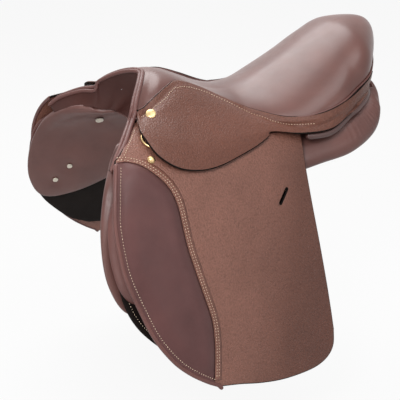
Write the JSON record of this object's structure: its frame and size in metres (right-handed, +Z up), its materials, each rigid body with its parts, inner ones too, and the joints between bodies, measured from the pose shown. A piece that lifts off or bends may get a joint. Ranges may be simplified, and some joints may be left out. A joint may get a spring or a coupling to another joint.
{
  "type": "jumping saddle",
  "caption": "Leather jumping saddle with a dipped seat on a moulded tree, lifting skirts and flaps, knee pads, padded panels, girth straps, stirrup bars with catches and dee rings.",
  "frame": {"origin": "on the middle plane, level with the middle of the panels, where the saddle bears on the back below it", "axes": "+X towards the pommel, +Y to the left side, +Z up"},
  "size_m": [0.6105, 0.6112, 0.5348],
  "materials": {
    "smooth_leather": "satin chestnut calf",
    "grain_leather": "satin pebble grain",
    "dark_leather": "dark satin",
    "brass": "polished",
    "steel": "satin",
    "webbing": "woven",
    "foam": "matte foam",
    "pale_plastic": "matte",
    "tree_plastic": "moulded"
  },
  "bodies": {
    "saddle": {"tree": "tree_plastic", "tree_point_left": "tree_plastic", "tree_point_right": "tree_plastic", "head_plate_left": "steel", "head_plate_right": "steel", "tree_rivets": "steel", "seat_webs": "webbing", "seat_foam": "foam", "seat_cover": "smooth_leather", "pommel_lining": "smooth_leather", "front_welt": "smooth_leather", "cantle_welt": "smooth_leather", "skirt_left": "grain_leather", "skirt_right": "grain_leather", "skirt_nails": "brass", "panel_left": "smooth_leather", "panel_right": "smooth_leather", "gullet_lining": "smooth_leather", "panel_studs": "pale_plastic", "sweat_flap_left": "dark_leather", "sweat_flap_right": "dark_leather", "knee_block_left": "smooth_leather", "knee_block_right": "smooth_leather", "flap_head_left": "grain_leather", "flap_head_right": "grain_leather", "dee_rivets": "brass", "stirrup_bar_left": "steel", "stirrup_bar_right": "steel", "girth_web_left": "webbing", "girth_web_right": "webbing"},
    "left_flap": {"flap_left": "grain_leather", "knee_pad_left": "smooth_leather", "flap_stud_left": "brass"},
    "left_skirt_lobe": {"skirt_lobe_left": "grain_leather"},
    "left_catch": {"stirrup_catch_left": "steel"},
    "left_dee": {"dee_tab_left": "dark_leather", "dee_ring_left": "brass"},
    "left_front_strap": {"girth_strap_front_left": "dark_leather"},
    "left_middle_strap": {"girth_strap_middle_left": "dark_leather"},
    "left_rear_strap": {"girth_strap_rear_left": "dark_leather"},
    "right_flap": {"flap_right": "grain_leather", "knee_pad_right": "smooth_leather", "flap_stud_right": "brass"},
    "right_skirt_lobe": {"skirt_lobe_right": "grain_leather"},
    "right_catch": {"stirrup_catch_right": "steel"},
    "right_dee": {"dee_tab_right": "dark_leather", "dee_ring_right": "brass"},
    "right_front_strap": {"girth_strap_front_right": "dark_leather"},
    "right_middle_strap": {"girth_strap_middle_right": "dark_leather"},
    "right_rear_strap": {"girth_strap_rear_right": "dark_leather"}
  },
  "joints": [
    {"name": "left_flap_lift", "type": "hinge", "parent": "saddle", "child": "left_flap", "pos_m": [0.09215, 0.15123, 0.04784], "axis": [0.9896, 0.1189, 0.0805], "range_deg": [0, 70]},
    {"name": "left_skirt_lift", "type": "hinge", "parent": "saddle", "child": "left_skirt_lobe", "pos_m": [0.09691, 0.12487, 0.07648], "axis": [0.9783, -0.1005, 0.1811], "range_deg": [0, 70]},
    {"name": "left_catch_turn", "type": "hinge", "parent": "saddle", "child": "left_catch", "pos_m": [0.06921, 0.12318, 0.05974], "axis": [-0.1153, 0.577, 0.8085], "range_deg": [0, 60]},
    {"name": "left_dee_swing", "type": "hinge", "parent": "saddle", "child": "left_dee", "pos_m": [0.1707, 0.13069, 0.07534], "axis": [-0.0919, 0.4601, 0.8831], "range_deg": [-20, 20]},
    {"name": "left_front_strap_swing", "type": "hinge", "parent": "saddle", "child": "left_front_strap", "pos_m": [0.11504, 0.14894, 0.02856], "axis": [-0.1841, 0.9215, 0.342], "range_deg": [-5, 5]},
    {"name": "left_middle_strap_swing", "type": "hinge", "parent": "saddle", "child": "left_middle_strap", "pos_m": [0.07901, 0.14556, 0.03156], "axis": [-0.1841, 0.9215, 0.342], "range_deg": [-5, 5]},
    {"name": "left_rear_strap_swing", "type": "hinge", "parent": "saddle", "child": "left_rear_strap", "pos_m": [0.04444, 0.13484, 0.02856], "axis": [-0.1841, 0.9215, 0.342], "range_deg": [-5, 5]},
    {"name": "right_flap_lift", "type": "hinge", "parent": "saddle", "child": "right_flap", "pos_m": [0.09215, -0.15123, 0.04784], "axis": [-0.9896, 0.1189, -0.0805], "range_deg": [0, 70]},
    {"name": "right_skirt_lift", "type": "hinge", "parent": "saddle", "child": "right_skirt_lobe", "pos_m": [0.09691, -0.12487, 0.07648], "axis": [-0.9783, -0.1005, -0.1811], "range_deg": [0, 70]},
    {"name": "right_catch_turn", "type": "hinge", "parent": "saddle", "child": "right_catch", "pos_m": [0.06921, -0.12318, 0.05974], "axis": [0.1153, 0.577, -0.8085], "range_deg": [0, 60]},
    {"name": "right_dee_swing", "type": "hinge", "parent": "saddle", "child": "right_dee", "pos_m": [0.1707, -0.13069, 0.07534], "axis": [0.0919, 0.4601, -0.8831], "range_deg": [-20, 20]},
    {"name": "right_front_strap_swing", "type": "hinge", "parent": "saddle", "child": "right_front_strap", "pos_m": [0.11504, -0.14894, 0.02856], "axis": [0.1841, 0.9215, -0.342], "range_deg": [-5, 5]},
    {"name": "right_middle_strap_swing", "type": "hinge", "parent": "saddle", "child": "right_middle_strap", "pos_m": [0.07901, -0.14556, 0.03156], "axis": [0.1841, 0.9215, -0.342], "range_deg": [-5, 5]},
    {"name": "right_rear_strap_swing", "type": "hinge", "parent": "saddle", "child": "right_rear_strap", "pos_m": [0.04444, -0.13484, 0.02856], "axis": [0.1841, 0.9215, -0.342], "range_deg": [-5, 5]}
  ],
  "couplings": [
    {"joint": "left_skirt_lift", "follows": "left_flap_lift", "ratio": 1},
    {"joint": "right_skirt_lift", "follows": "right_flap_lift", "ratio": 1}
  ]
}
